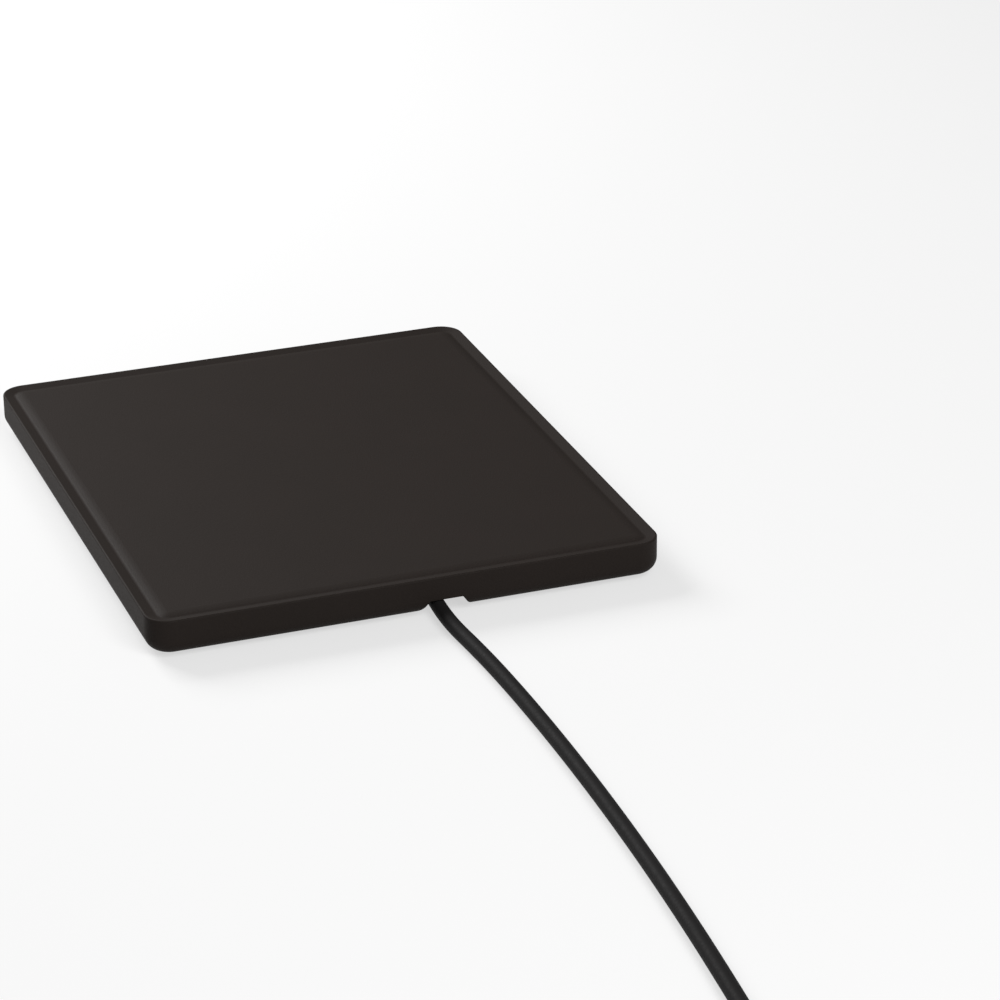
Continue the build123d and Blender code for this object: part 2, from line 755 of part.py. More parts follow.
# Hexagon coupling nut, turning on the post between the collar and the flange
with BuildPart() as connector_nut:
    nut_plane = Plane(origin=grip_start + Vector(-nut_start, 0, 0), x_dir=(0, 1, 0), z_dir=(-1, 0, 0))
    with BuildSketch(nut_plane):
        RegularPolygon(nut_across_flats / 2, 6, major_radius=False)
    extrude(amount=nut_length)
    with BuildSketch(nut_plane):
        Circle(post_radius + running_clearance)
    extrude(amount=nut_lip_length, mode=Mode.SUBTRACT)
    with BuildSketch(nut_plane.offset(nut_lip_length)):
        Circle(nut_thread_radius)
    extrude(amount=nut_length - nut_lip_length, mode=Mode.SUBTRACT)
    with BuildSketch(connector_plane):
        nut_corner = nut_across_flats / 2 / cos(radians(30))
        with BuildLine():
            Polyline(
                (nut_start, 0), (nut_start, nut_corner - nut_chamfer),
                (nut_start + nut_chamfer_length, nut_corner), (nut_end - nut_chamfer_length, nut_corner),
                (nut_end, nut_corner - nut_chamfer), (nut_end, 0),
                close=True,
            )
        make_face()
    revolve(axis=connector_axis, mode=Mode.INTERSECT)
save(connector_nut, "connector_nut")
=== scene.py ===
"""Dresses the flat indoor television antenna: case, lead, connector, floor, light and camera."""
import logging
import math
from dataclasses import dataclass
from enum import Enum
from typing import Any, Callable

import bmesh
import bpy
from mathutils import Euler, Matrix, Vector


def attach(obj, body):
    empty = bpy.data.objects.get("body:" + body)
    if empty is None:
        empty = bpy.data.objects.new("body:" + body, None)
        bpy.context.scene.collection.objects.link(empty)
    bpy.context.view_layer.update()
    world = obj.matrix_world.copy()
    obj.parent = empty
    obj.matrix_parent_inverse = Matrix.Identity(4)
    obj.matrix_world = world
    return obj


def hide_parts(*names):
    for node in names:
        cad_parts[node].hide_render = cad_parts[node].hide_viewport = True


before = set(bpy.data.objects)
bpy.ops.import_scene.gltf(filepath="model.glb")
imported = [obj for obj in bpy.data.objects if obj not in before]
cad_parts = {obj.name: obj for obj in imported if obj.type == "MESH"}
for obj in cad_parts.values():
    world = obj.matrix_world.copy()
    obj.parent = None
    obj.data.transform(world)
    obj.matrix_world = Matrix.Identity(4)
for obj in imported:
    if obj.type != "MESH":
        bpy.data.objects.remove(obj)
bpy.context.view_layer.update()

MM = 0.001
WHITE = "#ffffff"
# the put-away coil: its middle in plan, in millimetres, and where its strap is, in degrees
COIL_CENTRE = (-48.5, -577.9)
STRAP_HEADING = 125.0
# octaves of the noises of a finish
GRAIN_OCTAVES = 2.0
MOTTLE_OCTAVES = 3.0
# nearly all of a noise lies between these heights
NOISE_LOW, NOISE_HIGH = 0.3, 0.7
# a wave's phase is twenty times its scaled place, so with this share it turns once a thread
WAVE_SHARE = math.pi / 10
# sockets of a mix node when it mixes colours; by name they can't be told from its other sockets
MIX_FACTOR, MIX_FIRST, MIX_SECOND, MIX_RESULT = 0, 6, 7, 2

log = logging.getLogger("antenna")
Point = tuple[float, float, float]


class Body(Enum):
    """The bodies that pieces ride on."""

    ANTENNA = "antenna"
    COUPLING_NUT = "coupling_nut"


class Grain(Enum):
    """How the grain of a finish is laid out: a small number draws it out along X, Y or Z."""

    EVEN = (1.0, 1.0, 1.0)
    TURNED_ABOUT_X = (1.0, 0.02, 0.02)
    ROLLED_ALONG_Y = (1.0, 0.03, 1.0)
    TURNED_ABOUT_Z = (0.15, 0.15, 1.0)


def linear(colour: str) -> tuple[float, float, float, float]:
    """Turns an sRGB hex colour into linear RGBA.

    Args:
        colour: Six hex digits after a hash.

    Returns:
        Linear red, green, blue and an alpha of one.
    """
    parts = [int(colour[i : i + 2], 16) / 255 for i in (1, 3, 5)]
    # the sRGB curve: straight near black, a power above
    lit = [c / 12.92 if c <= 0.04045 else ((c + 0.055) / 1.055) ** 2.4 for c in parts]
    return lit[0], lit[1], lit[2], 1.0


def per_mm(size: float) -> float:
    """Gives the texture scale at which a pattern repeats every so many millimetres."""
    return 1 / (size * MM)


def add_node(
    tree: bpy.types.NodeTree, kind: str, inputs: dict[Any, Any] | None = None, **settings: Any
) -> bpy.types.Node:
    """Adds a node with its settings and links.

    Args:
        tree: The node tree that takes the node.
        kind: The node's type name.
        inputs: A value, or a socket to link from, for each input by name or number.
        settings: Properties of the node itself.

    Returns:
        The new node.
    """
    made = tree.nodes.new(kind)
    for name, value in settings.items():
        setattr(made, name, value)
    for name, value in (inputs or {}).items():
        if isinstance(value, bpy.types.NodeSocket):
            tree.links.new(value, made.inputs[name])
        else:
            made.inputs[name].default_value = value
    return made


@dataclass(frozen=True)
class Finish:
    """A real material and the way its surface was made.

    Attributes:
        name: The material's common name and process.
        colour: Its main colour.
        tint: The second colour of its faint mottling.
        roughness: Roughness in the middle of its range.
        spread: How far the roughness wanders each way.
        grain: Size of the surface grain in millimetres.
        relief: Height of the grain in millimetres.
        mottle: Size of the colour mottling in millimetres.
        metallic: One for a bare metal.
        ior: Index of refraction, which a metal leaves as it is.
        gloss: Specular level.
        layout: How the grain is laid out.
    """

    name: str
    colour: str
    tint: str
    roughness: float
    spread: float = 0.05
    grain: float = 0.6
    relief: float = 0.01
    mottle: float = 25.0
    metallic: float = 0.0
    ior: float = 1.5
    gloss: float = 0.5
    layout: Grain = Grain.EVEN

    def material(self) -> bpy.types.Material:
        """Makes the material, or gives it again where it is already made.

        Returns:
            The material.
        """
        made = bpy.data.materials.get(self.name)
        if made is None:
            made = bpy.data.materials.new(self.name)
            made.use_nodes = True
            made.node_tree.nodes.clear()
            self.build(made.node_tree)
        return made

    def build(self, tree: bpy.types.NodeTree) -> None:
        """Fills the node tree: mottled colour, wandering roughness and a fine grain.

        Args:
            tree: The material's empty node tree.
        """
        place = add_node(tree, "ShaderNodeTexCoord").outputs["Object"]
        laid = add_node(
            tree, "ShaderNodeMapping", {"Vector": place, "Scale": self.layout.value}
        ).outputs[0]
        grain = add_node(
            tree,
            "ShaderNodeTexNoise",
            {"Vector": laid, "Scale": per_mm(self.grain), "Detail": GRAIN_OCTAVES},
        ).outputs[0]
        cloud = add_node(
            tree,
            "ShaderNodeTexNoise",
            {"Vector": place, "Scale": per_mm(self.mottle), "Detail": MOTTLE_OCTAVES},
        ).outputs[0]
        self.close(tree, cloud, grain)

    def close(
        self, tree: bpy.types.NodeTree, shade: bpy.types.NodeSocket, grain: bpy.types.NodeSocket
    ) -> None:
        """Ends the tree in the shader.

        Args:
            tree: The material's node tree.
            shade: The socket that goes from the main colour to the second one; in a weave it is
                the threads' height, so the gaps get painted shade and the crests painted light.
            grain: The socket that gives the height of the grain.
        """
        colour = add_node(
            tree,
            "ShaderNodeMix",
            {MIX_FACTOR: shade, MIX_FIRST: linear(self.colour), MIX_SECOND: linear(self.tint)},
            data_type="RGBA",
        ).outputs[MIX_RESULT]
        rough = add_node(
            tree,
            "ShaderNodeMapRange",
            {
                "Value": grain,
                "From Min": NOISE_LOW,
                "From Max": NOISE_HIGH,
                "To Min": self.roughness - self.spread,
                "To Max": self.roughness + self.spread,
            },
        ).outputs[0]
        bump = add_node(
            tree,
            "ShaderNodeBump",
            {"Height": grain, "Strength": 1.0, "Distance": self.relief * MM},
        ).outputs[0]
        shader = add_node(
            tree,
            "ShaderNodeBsdfPrincipled",
            {
                "Base Color": colour,
                "Roughness": rough,
                "Normal": bump,
                "Metallic": self.metallic,
                "IOR": self.ior,
                "Specular IOR Level": self.gloss,
            },
        ).outputs[0]
        add_node(tree, "ShaderNodeOutputMaterial", {"Surface": shader})


@dataclass(frozen=True)
class Woven(Finish):
    """A plain weave, with painted shade in the gaps between its threads and painted light on their
    crests.

    Attributes:
        thread: Distance from thread to thread in millimetres.
        turn: Heading of the warp in plan, in degrees.
        wander: How unevenly the threads run.
    """

    thread: float = 0.9
    turn: float = 0.0
    wander: float = 0.4

    def build(self, tree: bpy.types.NodeTree) -> None:
        """Fills the node tree with crossing threads, whose height also sets the colour: painted
        shade in the gaps, a paler tint on the crests as painted light.

        Args:
            tree: The material's empty node tree.
        """
        place = add_node(tree, "ShaderNodeTexCoord").outputs["Object"]
        laid = add_node(
            tree,
            "ShaderNodeMapping",
            {"Vector": place, "Rotation": (0, 0, math.radians(-self.turn))},
        ).outputs[0]
        scale = per_mm(self.thread) * WAVE_SHARE
        waves = [
            add_node(
                tree,
                "ShaderNodeTexWave",
                {"Vector": laid, "Scale": scale, "Distortion": self.wander},
                bands_direction=way,
            ).outputs[1]
            for way in ("Y", "DIAGONAL")
        ]
        grain = add_node(
            tree, "ShaderNodeMath", {0: waves[0], 1: waves[1]}, operation="MULTIPLY"
        ).outputs[0]
        # the threads' height mixes the colour too: painted shade in the gaps, painted light on the
        # crests
        self.close(tree, grain, grain)


# ABS moulded in a spark-eroded tool: a warm black with a soft, even sheen and a fine satin grain,
# drawn at 0.7 mm where the real one is near 0.1 mm, so that it shows
CASE_ABS = Finish(
    "abs_moulded_satin", "#2d2825", "#302a27", roughness=0.6, spread=0.04,
    grain=0.7, relief=0.1, mottle=30.0, ior=1.54, gloss=0.06,
)
# Extruded PVC jacket, matt grade: near black, with no more than a soft, broad line of light along
# it; its unevenness is drawn at 1.2 mm where the real one is about half that
JACKET_PVC = Finish(
    "pvc_extruded_jacket", "#232222", "#282727", roughness=0.62, spread=0.05,
    grain=1.2, relief=0.02, mottle=40.0, ior=1.53, gloss=0.06,
)
# PVC moulded over the lead's end: as black as the jacket, with the dull grain of a sand-blasted
# tool, drawn at 0.5 mm where the real grit is near 0.2 mm
GRIP_PVC = Finish(
    "pvc_moulded_grip", "#1d1c1c", "#242322", roughness=0.6, spread=0.05,
    grain=0.5, relief=0.03, mottle=12.0, ior=1.53, gloss=0.15,
)
# Moulded rubber: dead matt, with dusty paler patches and a grain drawn at 0.5 mm where the real
# one is near 0.2 mm
FOOT_RUBBER = Finish(
    "rubber_moulded_foot", "#1d1d1c", "#272625", roughness=0.85, spread=0.06,
    grain=0.5, relief=0.02, mottle=6.0, ior=1.52, gloss=0.25,
)
# Steel with a bright zinc plate: pale grey, a little cloudy, with rubbing marks drawn at 0.4 mm
# where the real ones are near 0.1 mm
ZINC_STEEL = Finish(
    "steel_zinc_plated", "#b9babb", "#a7a9ac", roughness=0.36, spread=0.08,
    grain=0.4, relief=0.006, mottle=3.0, metallic=1.0, layout=Grain.TURNED_ABOUT_Z,
)
# Brass turned and nickel plated: a warm silver with the rings that the tool left, drawn 0.18 mm
# apart where the real ones are half that
NICKEL_BRASS = Finish(
    "brass_nickel_plated", "#cdc8be", "#bfb9ae", roughness=0.24, spread=0.06,
    grain=0.18, relief=0.004, mottle=5.0, metallic=1.0, layout=Grain.TURNED_ABOUT_X,
)
# Copper wire, drawn and left bare: salmon, browned in places by handling; the marks are drawn at
# 0.3 mm where real ones are near 0.05 mm
BARE_COPPER = Finish(
    "copper_drawn_bare", "#c98a66", "#a8643f", roughness=0.3, spread=0.08,
    grain=0.3, relief=0.004, mottle=4.0, metallic=1.0, layout=Grain.TURNED_ABOUT_X,
)
# Copper wire under varnish: a deeper red with a wet gloss
ENAMELLED_COPPER = Finish(
    "copper_enamelled", "#a2512b", "#8a4122", roughness=0.2, spread=0.05,
    grain=0.6, relief=0.003, mottle=3.0, metallic=1.0,
)
# Foamed polyethylene, cut with a blade: milky white with a waxy face and its cells just showing,
# drawn at 0.4 mm where real ones are near 0.1 mm
WHITE_POLYETHYLENE = Finish(
    "polyethylene_foamed", "#e9e9e6", "#dededa", roughness=0.5, spread=0.05,
    grain=0.4, relief=0.02, mottle=3.0, ior=1.5, gloss=0.4,
)
# Tinned steel strip, rolled: cool silver with faint lines along the strip, drawn at 0.5 mm where
# real ones are near 0.1 mm
TINNED_SHEET = Finish(
    "steel_tinned_rolled", "#c6c8c9", "#b4b7b9", roughness=0.34, spread=0.08,
    grain=0.5, relief=0.004, mottle=14.0, metallic=1.0, layout=Grain.ROLLED_ALONG_Y,
)
# Glass-fibre board under solder mask: deep green, glossy, with the weave just showing, drawn at
# 0.8 mm where the real one is near 0.5 mm
BOARD_GREEN = Finish(
    "glass_epoxy_solder_mask", "#1c4a2b", "#215733", roughness=0.32, spread=0.06,
    grain=0.8, relief=0.01, mottle=9.0, ior=1.55, gloss=0.5,
)
# Ferrite, pressed and sintered: grey-black and dry, with a sandy face, drawn at 0.3 mm where the
# real grains are near 0.05 mm
FERRITE = Finish(
    "ferrite_sintered", "#3f3f42", "#4a4a4d", roughness=0.75, spread=0.08,
    grain=0.3, relief=0.02, mottle=4.0, ior=1.6, gloss=0.3,
)
# Fired ceramic chips: tan and smooth
CHIP_CERAMIC = Finish(
    "ceramic_fired_chip", "#b09672", "#a28762", roughness=0.4, spread=0.05,
    grain=0.2, relief=0.004, mottle=1.5, ior=1.6, gloss=0.5,
)
# Polyamide strap, woven and brushed: soft black with no shine, with painted shade in the gaps
# between the threads and painted light where they come up; they are drawn 0.9 mm apart where real
# ones are near 0.4 mm
STRAP_POLYAMIDE = Woven(
    "polyamide_woven_strap", "#161617", "#343436", roughness=0.88, spread=0.05,
    relief=0.15, ior=1.53, gloss=0.15, thread=0.9, turn=STRAP_HEADING,
)


def dress_nodes(finish: Finish, *names: str) -> None:
    """Gives carried-over nodes their finish.

    Args:
        finish: What they are made of.
        names: The nodes.
    """
    for name in names:
        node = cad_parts[name]
        node.data.materials.clear()
        node.data.materials.append(finish.material())
        log.info("%s: %s", name, finish.name)


def add_piece(
    name: str, data: bpy.types.ID, finish: Finish, body: Body
) -> bpy.types.Object:
    """Puts a new piece in the scene.

    Args:
        name: The piece's name.
        data: Its mesh or curve.
        finish: What it is made of.
        body: The body that it rides on.

    Returns:
        The new object.
    """
    piece = bpy.data.objects.new(name, data)
    bpy.context.scene.collection.objects.link(piece)
    data.materials.append(finish.material())
    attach(piece, body.value)
    log.info("%s: %s", name, finish.name)
    return piece


def skin(
    shape: bmesh.types.BMesh, rings: list[list[bmesh.types.BMVert]], closed: bool = False
) -> None:
    """Joins rings of points into a skin, with a cap at each end unless it meets itself.

    Args:
        shape: The shape that takes the faces.
        rings: The rings in order, each with as many points.
        closed: Whether the last ring meets the first.
    """
    pairs = list(zip(rings, rings[1:])) + ([(rings[-1], rings[0])] if closed else [])
    for one, two in pairs:
        for i in range(len(one)):
            shape.faces.new((one[i - 1], one[i], two[i], two[i - 1]))
    if not closed:
        shape.faces.new(list(reversed(rings[0])))
        shape.faces.new(rings[-1])


def mesh_of(name: str, shape: bmesh.types.BMesh) -> bpy.types.Mesh:
    """Turns a shape into a mesh, with its faces looking outwards.

    Args:
        name: The mesh's name.
        shape: The shape, which is freed.

    Returns:
        The mesh.
    """
    bmesh.ops.recalc_face_normals(shape, faces=shape.faces)
    data = bpy.data.meshes.new(name)
    shape.to_mesh(data)
    shape.free()
    return data


@dataclass
class Case:
    """The moulded case with its feet, screws and what it holds.

    Attributes:
        covers: The two halves of the case.
        elements: The stamped elements.
        windings: The windings on the balun's core.
        small_screws: The screws.
        cord_holders: What holds the lead.
    """

    covers: tuple[str, ...] = ("top_cover", "bottom_cover")
    elements: tuple[str, ...] = (
        "uhf_element_left", "uhf_element_right", "vhf_element_left", "vhf_element_right"
    )
    windings: tuple[str, ...] = ("primary_winding", "secondary_winding")
    small_screws: tuple[str, ...] = ("case_screws", "element_screws", "clamp_screws")
    cord_holders: tuple[str, ...] = ("cord_clamp", "cord_grommet")

    def dress(self) -> None:
        """Gives each piece of the case its finish."""
        dress_nodes(CASE_ABS, *self.covers)
        dress_nodes(FOOT_RUBBER, "rubber_feet")
        dress_nodes(ZINC_STEEL, *self.small_screws)
        dress_nodes(TINNED_SHEET, *self.elements)
        dress_nodes(BOARD_GREEN, "balun_board")
        dress_nodes(FERRITE, "balun_core")
        dress_nodes(ENAMELLED_COPPER, *self.windings)
        dress_nodes(CHIP_CERAMIC, "matching_capacitors")
        dress_nodes(GRIP_PVC, *self.cord_holders)
        dress_nodes(JACKET_PVC, "inner_lead")
        dress_nodes(WHITE_POLYETHYLENE, "coax_dielectric")
        dress_nodes(BARE_COPPER, "coax_conductor", "coax_braid")


@dataclass
class CoaxLead:
    """The free coaxial lead: one smooth line from the sleeve in the case to the connector.

    Attributes:
        diameter: Over the jacket, in millimetres.
        length: From the sleeve to the connector's grip, in millimetres; not used.
        route: The line's points from the sleeve to the coil, in millimetres.
        tail: The line's points from the coil to the grip, in millimetres.
        centre: Middle of the coil in plan.
        outer_turn: Radius of the coil's outer turns.
        pitch: Distance from one turn to the next.
        layer_turns: Turns in each of the two layers.
        levels: Heights of the lower and the upper layer.
        angles: Where the line joins the coil and leaves it, in degrees.
        points_a_turn: Points of the line in each turn.
        rise: The turns between which the line climbs to the upper layer.
        steps_round: Blender's bevel resolution, for the round of the jacket.
        steps_along: Steps of the line from each of its points to the next.
    """

    diameter: float = 7.4
    length: float = 1800.0
    route: tuple[Point, ...] = (
        (13.5, -103.5, 8.5),
        (13.5, -112.5, 8.5),
        (13.4, -124.0, 7.0),
        (13.5, -138.0, 5.0),
        (12.8, -153.0, 4.15),
        (12.95, -170.0, 3.8),
        (14.85, -191.0, 3.7),
        (16.4, -216.0, 3.7),
        (17.5, -252.0, 3.7),
        (17.8, -298.0, 3.7),
        (16.9, -350.0, 3.7),
        (14.75, -404.0, 3.7),
        (11.35, -458.0, 3.7),
        (7.15, -508.0, 3.75),
        (3.1, -548.0, 4.1),
    )
    tail: tuple[Point, ...] = (
        (-54.5, -627.1, 12.1),
        (-65.5, -629.4, 9.8),
        (-76.5, -630.4, 7.0),
        (-88.5, -630.4, 7.0),
    )
    centre: tuple[float, float] = COIL_CENTRE
    outer_turn: float = 47.8
    pitch: float = 7.55
    layer_turns: float = 2.5
    levels: tuple[float, float] = (4.7, 12.15)
    angles: tuple[float, float] = (-6.5, -84.0)
    points_a_turn: int = 16
    rise: tuple[float, float] = (2.3, 2.72)
    steps_round: int = 8
    steps_along: int = 10

    def coil(self) -> list[Point]:
        """Works out the coil: in along the lower layer, up, and out along the upper one.

        Returns:
            The points of the turns, clockwise seen from above.
        """
        turns = 2 * self.layer_turns + (self.angles[0] - self.angles[1]) / 360
        steps = round(turns * self.points_a_turn)
        # the line runs inside its points, so these stand out by as much
        swell = 1 / math.cos(math.pi * turns / steps)
        points = []
        for step in range(steps + 1):
            done = turns * step / steps
            inward = self.layer_turns - min(abs(done - self.layer_turns), self.layer_turns)
            radius = (self.outer_turn - self.pitch * inward) * (1 if step in (0, steps) else swell)
            climb = min(max((done - self.rise[0]) / (self.rise[1] - self.rise[0]), 0), 1)
            # the climb starts and ends level
            climb = climb * climb * (3 - 2 * climb)
            angle = math.radians(self.angles[0] - 360 * done)
            points.append(
                (
                    self.centre[0] + radius * math.cos(angle),
                    self.centre[1] + radius * math.sin(angle),
                    self.levels[0] + (self.levels[1] - self.levels[0]) * climb,
                )
            )
        return points

    def build(self) -> bpy.types.Object:
        """Draws the lead along its line.

        Returns:
            The lead's object.
        """
        points = [*self.route, *self.coil(), *self.tail]
        curve = bpy.data.curves.new("coax_lead", "CURVE")
        curve.dimensions = "3D"
        curve.bevel_depth = self.diameter / 2 * MM
        curve.bevel_resolution = self.steps_round
        curve.resolution_u = self.steps_along
        curve.use_fill_caps = True
        spline = curve.splines.new("NURBS")
        spline.points.add(len(points) - 1)
        for point, place in zip(spline.points, points):
            point.co = (*(value * MM for value in place), 1.0)
        # set after the points are there, or the line falls back to straight runs
        spline.order_u = 3
        spline.use_endpoint_u = True
        lead = add_piece("coax_lead", curve, JACKET_PVC, Body.ANTENNA)
        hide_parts("cord_lead", "cord_coil", "cord_tail")
        return lead


@dataclass
class CoilStrap:
    """The hook-and-loop strap that ties the coil, with its free end lapped over the outside.

    Attributes:
        centre: Middle of the coil in plan, in millimetres.
        heading: Where on the coil the strap is, in degrees.
        middle: Distance from the coil's middle to the strap's middle.
        span: Inner width of the strap's loop, across the turns.
        height: Inner height of the loop.
        corner: Inner radius of the loop's corners.
        thickness: Thickness of the strap.
        width: Width of the strap.
        level: Height of the loop's middle above the table.
        lap: Length of the lapped end.
        lap_back: How far before the middle of the top the lapped end starts.
        lap_sunk: The share of the thickness by which it stands up at its start.
        lap_rise: The length over which it would climb by a whole thickness.
        edge: Radius of the strap's long edges.
        tip: The share of the width that the round end keeps at its tip.
        step: Distance between the rings of its mesh.
    """

    centre: tuple[float, float] = COIL_CENTRE
    heading: float = STRAP_HEADING
    middle: float = 37.5
    span: float = 23.3
    height: float = 14.85
    corner: float = 3.7
    thickness: float = 1.0
    width: float = 8.0
    level: float = 8.425
    lap: float = 24.0
    lap_back: float = 6.0
    lap_sunk: float = 0.25
    lap_rise: float = 5.0
    edge: float = 0.3
    tip: float = 0.12
    step: float = 0.45

    def round_loop(self, out: float, travel: float) -> Vector:
        """Finds a point of a line round the loop.

        Args:
            out: How far the line lies outside the loop's inner face.
            travel: Distance along the inner face, from the middle of the top, outwards first.

        Returns:
            The point, across the turns and up.
        """
        half_span, half_height = self.span / 2 - self.corner, self.height / 2 - self.corner
        arc = math.pi / 2 * self.corner
        # each straight run with the middle of the corner that follows it
        runs = [
            (half_span, (half_span, half_height)),
            (2 * half_height, (half_span, -half_height)),
            (2 * half_span, (-half_span, -half_height)),
            (2 * half_height, (-half_span, half_height)),
        ]
        start = Vector((0.0, half_height))
        facing = math.pi / 2
        left = travel % (4 * (half_span + half_height + arc))
        for straight, corner in runs:
            if left <= straight:
                break
            left -= straight
            start = Vector(corner)
            if left <= arc:
                facing -= left / self.corner
                left = 0.0
                break
            left -= arc
            facing -= math.pi / 2
        way = Vector((math.sin(facing), -math.cos(facing)))
        normal = Vector((math.cos(facing), math.sin(facing)))
        return start + way * left + normal * (self.corner + out)

    def section(self, narrow: float) -> list[tuple[float, float]]:
        """Gives the strap's cross-section.

        Args:
            narrow: The share of the full width at this place.

        Returns:
            Its points, along the width and the thickness.
        """
        half, edge = self.width / 2 * narrow, self.edge
        # the middle of a rounded edge lies this far in from both faces
        cut = edge * (1 - math.sqrt(0.5))
        side = [
            (half - edge, 0.0),
            (half - cut, cut),
            (half, edge),
            (half, self.thickness - edge),
            (half - cut, self.thickness - cut),
            (half - edge, self.thickness),
        ]
        return side + [(-across, up) for across, up in reversed(side)]

    def sweep(
        self,
        shape: bmesh.types.BMesh,
        start: float,
        end: float,
        out: Callable[[float], float],
        closed: bool,
    ) -> None:
        """Adds a run of strap.

        Args:
            shape: The shape that takes it.
            start: Where it starts along the loop.
            end: Where it ends.
            out: How far its inner face lies outside the loop at each distance from the start.
            closed: Whether it meets itself.
        """
        heading = math.radians(self.heading)
        across = Vector((math.cos(heading), math.sin(heading), 0))
        along = Vector((-across.y, across.x, 0))
        origin = Vector((*self.centre, self.level)) + across * self.middle
        steps = round((end - start) / self.step)
        rings = []
        for step in range(steps if closed else steps + 1):
            gone = (end - start) * step / steps
            short = max(self.width / 2 - min(end - start - gone, self.width / 2), 0)
            rounded = math.sqrt(max(1 - (2 * short / self.width) ** 2, 0))
            narrow = 1.0 if closed else max(rounded, self.tip)
            ring = []
            for wide, up in self.section(narrow):
                place = self.round_loop(out(gone) + up, start + gone)
                point = origin + across * place.x + along * wide + Vector((0, 0, place.y))
                ring.append(shape.verts.new(point * MM))
            rings.append(ring)
        skin(shape, rings, closed)

    def lap_level(self, gone: float) -> float:
        """Gives how far outside the loop the lapped end's inner face lies, so far along it."""
        return self.thickness * min(self.lap_sunk + gone / self.lap_rise, 1.0)

    def build(self) -> bpy.types.Object:
        """Makes the strap and its lapped end.

        Returns:
            The strap's object.
        """
        # the way round a rectangle, less what its round corners save
        loop = 2 * (self.span + self.height) - (8 - 2 * math.pi) * self.corner
        shape = bmesh.new()
        self.sweep(shape, 0.0, loop, lambda gone: 0.0, True)
        self.sweep(shape, -self.lap_back, self.lap - self.lap_back, self.lap_level, False)
        for face in shape.faces:
            face.smooth = True
        data = mesh_of("coil_strap", shape)
        strap = add_piece("coil_strap", data, STRAP_POLYAMIDE, Body.ANTENNA)
        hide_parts("cord_tie")
        return strap


@dataclass
class Connector:
    """The screw-on coaxial connector at the lead's far end.

    Attributes:
        axis_place: A point of its axis in Y and Z, in millimetres.
        thread_start: Where the nut's thread starts along X.
        thread_end: Where it ends, at the nut's open face.
        thread_root: Radius of the bore that the thread stands on.
        thread_depth: Height of the thread.
        thread_pitch: Distance from one turn of the thread to the next.
        flank: Half the width of the thread's foot, as a share of the pitch.
        crest: Half the width of its top, as a share of the pitch.
        sunk: How deep its foot lies in the nut's wall.
        run_out: How many times shorter than the thread each of its tapered ends is.
        points_a_turn: Points along each turn of the thread.
    """

    axis_place: tuple[float, float] = (-630.4, 7.0)
    thread_start: float = -118.4
    thread_end: float = -124.7
    thread_root: float = 4.76
    thread_depth: float = 0.42
    thread_pitch: float = 0.79
    flank: float = 0.46
    crest: float = 0.08
    sunk: float = 0.02
    run_out: float = 8.0
    points_a_turn: int = 40

    def thread(self) -> bpy.types.Object:
        """Cuts the nut's inner thread as a ridge that runs out at both ends.

        Returns:
            The thread's object.
        """
        turns = (self.thread_start - self.thread_end) / self.thread_pitch
        steps = round(turns * self.points_a_turn)
        shape = bmesh.new()
        rings = []
        for step in range(steps + 1):
            angle = 2 * math.pi * turns * step / steps
            x = self.thread_start + (self.thread_end - self.thread_start) * step / steps
            full = min(1.0, self.run_out * step / steps, self.run_out * (steps - step) / steps)
            tooth = [
                (-self.flank, -self.sunk),
                (-self.crest, self.thread_depth * full),
                (self.crest, self.thread_depth * full),
                (self.flank, -self.sunk),
            ]
            ring = []
            for aside, height in tooth:
                radius = self.thread_root - height
                place = (
                    x + aside * self.thread_pitch,
                    self.axis_place[0] + radius * math.cos(angle),
                    self.axis_place[1] + radius * math.sin(angle),
                )
                ring.append(shape.verts.new(Vector(place) * MM))
            rings.append(ring)
        skin(shape, rings)
        data = mesh_of("nut_thread", shape)
        return add_piece("nut_thread", data, NICKEL_BRASS, Body.COUPLING_NUT)

    def build(self) -> list[str | bpy.types.Object]:
        """Dresses the connector and cuts its thread.

        Returns:
            The pieces of the connector.
        """
        finishes = {
            "connector_grip": GRIP_PVC,
            "connector_body": NICKEL_BRASS,
            "connector_insulator": WHITE_POLYETHYLENE,
            "connector_pin": BARE_COPPER,
            "connector_nut": NICKEL_BRASS,
        }
        for name, finish in finishes.items():
            dress_nodes(finish, name)
        return [*finishes, self.thread()]


@dataclass(frozen=True)
class Softbox:
    """A square soft lamp that looks at the middle of the panel.

    Attributes:
        name: The lamp's name.
        heading: Where it hangs, clockwise from +Y, in degrees.
        height: How high it hangs above the horizon, in degrees.
        power: Its power in watts.
        side: The side of its square in metres.
        distance: Its distance from the middle of the panel in metres.
    """

    name: str
    heading: float
    height: float
    power: float
    side: float = 0.9
    distance: float = 1.8

    def hang(self) -> None:
        """Adds the lamp to the scene."""
        data = bpy.data.lights.new(self.name, "AREA")
        data.size = self.side
        data.energy = self.power
        lamp = bpy.data.objects.new(self.name, data)
        swing = Euler((math.radians(self.height), 0, math.radians(-self.heading))).to_matrix()
        away = swing @ Vector((0, self.distance, 0))
        lamp.location = away
        lamp.rotation_euler = (-away).to_track_quat("-Z", "Y").to_euler()
        bpy.context.scene.collection.objects.link(lamp)


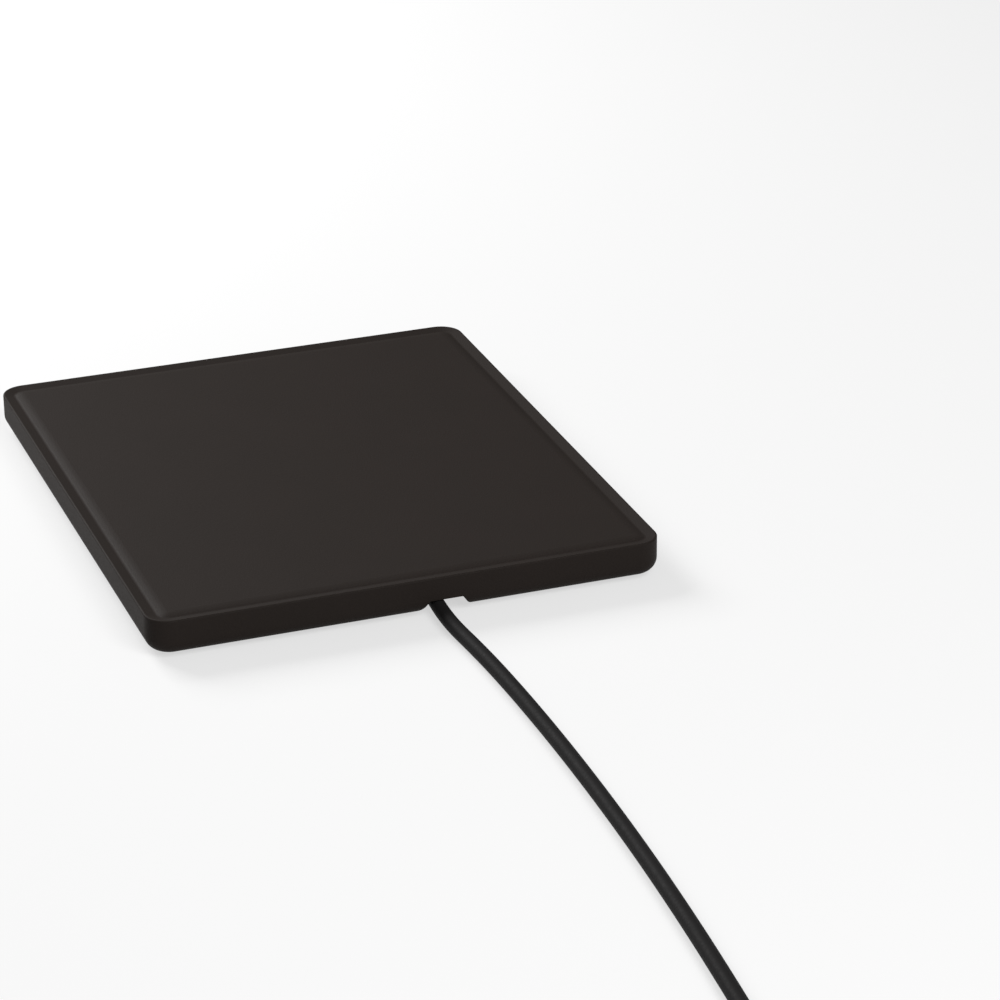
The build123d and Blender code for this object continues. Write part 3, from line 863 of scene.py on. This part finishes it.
@dataclass
class Studio:
    """White floor, soft lamps and the camera.

    Attributes:
        camera_place: The camera's place in metres.
        turn: Its heading clockwise from +Y, in degrees.
        tilt: How far it looks down, in degrees.
        roll: Its roll, in degrees.
        lens: Focal length on a square frame, in millimetres.
        frame_side: Side of that frame in millimetres.
        sight: The nearest and the furthest that the camera sees, in metres.
        lamps: The soft lamps: one behind on the left for the sheen, one in front for the walls.
        room: Strength of the even light of the room.
        paper: The floor's own colour.
        glow: The part of the floor's white that doesn't come from the lamps.
        floor_half: Half the floor's side in metres.
        floor_drop: How far the floor lies under the part, in metres.
    """

    camera_place: Point = (-0.49820, -1.62912, 0.77062)
    turn: float = 20.108
    tilt: float = 24.427
    roll: float = -0.389
    lens: float = 133.483
    frame_side: float = 36.0
    sight: tuple[float, float] = (0.05, 50.0)
    lamps: tuple[Softbox, ...] = (
        Softbox("softbox_behind_left", heading=-25.0, height=35.0, power=30.0),
        Softbox("softbox_front", heading=170.0, height=40.0, power=15.0),
    )
    room: float = 0.12
    paper: str = "#aaaaaa"
    glow: float = 0.6
    floor_half: float = 4.0
    floor_drop: float = 0.0003

    def camera(self) -> None:
        """Sets up the camera."""
        data = bpy.data.cameras.new("photo_view")
        data.sensor_width = self.frame_side
        data.lens = self.lens
        data.clip_start, data.clip_end = self.sight
        camera = bpy.data.objects.new("photo_view", data)
        aim = Euler((math.radians(90 - self.tilt), 0, math.radians(-self.turn))).to_matrix()
        roll = Matrix.Rotation(math.radians(self.roll), 3, "Z")
        camera.matrix_world = Matrix.Translation(self.camera_place) @ (aim @ roll).to_4x4()
        bpy.context.scene.collection.objects.link(camera)
        bpy.context.scene.camera = camera

    def floor(self) -> None:
        """Lays the floor, white to the eye and in reflections, with the shadow left in it."""
        half = self.floor_half
        mesh = bpy.data.meshes.new("floor")
        corners = [(-half, -half, 0), (half, -half, 0), (half, half, 0), (-half, half, 0)]
        mesh.from_pydata(corners, [], [(0, 1, 2, 3)])
        floor = bpy.data.objects.new("floor", mesh)
        floor.location.z = -self.floor_drop
        bpy.context.scene.collection.objects.link(floor)
        paper = bpy.data.materials.new("paper_white_backdrop")
        paper.use_nodes = True
        tree = paper.node_tree
        tree.nodes.clear()
        path = add_node(tree, "ShaderNodeLightPath")
        seen = path.outputs["Is Camera Ray"]
        for ray in ("Is Glossy Ray", "Is Transmission Ray"):
            seen = add_node(
                tree, "ShaderNodeMath", {0: seen, 1: path.outputs[ray]}, operation="MAXIMUM"
            ).outputs[0]
        glow = add_node(
            tree, "ShaderNodeMath", {0: seen, 1: self.glow}, operation="MULTIPLY"
        ).outputs[0]
        lit = add_node(tree, "ShaderNodeBsdfDiffuse", {"Color": linear(self.paper)}).outputs[0]
        white = add_node(
            tree, "ShaderNodeEmission", {"Color": linear(WHITE), "Strength": glow}
        ).outputs[0]
        both = add_node(tree, "ShaderNodeAddShader", {0: lit, 1: white}).outputs[0]
        add_node(tree, "ShaderNodeOutputMaterial", {"Surface": both})
        mesh.materials.append(paper)

    def light(self) -> None:
        """Sets the lamps and the even light of the room."""
        for lamp in self.lamps:
            lamp.hang()
        world = bpy.data.worlds.new("room")
        world.use_nodes = True
        tree = world.node_tree
        tree.nodes.clear()
        room = add_node(
            tree, "ShaderNodeBackground", {"Color": linear(WHITE), "Strength": self.room}
        ).outputs[0]
        add_node(tree, "ShaderNodeOutputWorld", {"Surface": room})
        bpy.context.scene.world = world
        bpy.context.scene.view_settings.view_transform = "Standard"

    def build(self) -> None:
        """Sets up the whole studio."""
        self.camera()
        self.floor()
        self.light()


def main() -> None:
    """Builds the pieces in order and reports each."""
    logging.basicConfig(level=logging.INFO, format="%(message)s")
    Studio().build()
    coax = CoaxLead()
    lead = coax.build()
    strap = CoilStrap().build()
    Connector().build()
    Case().dress()


if __name__ == "__main__":
    main()
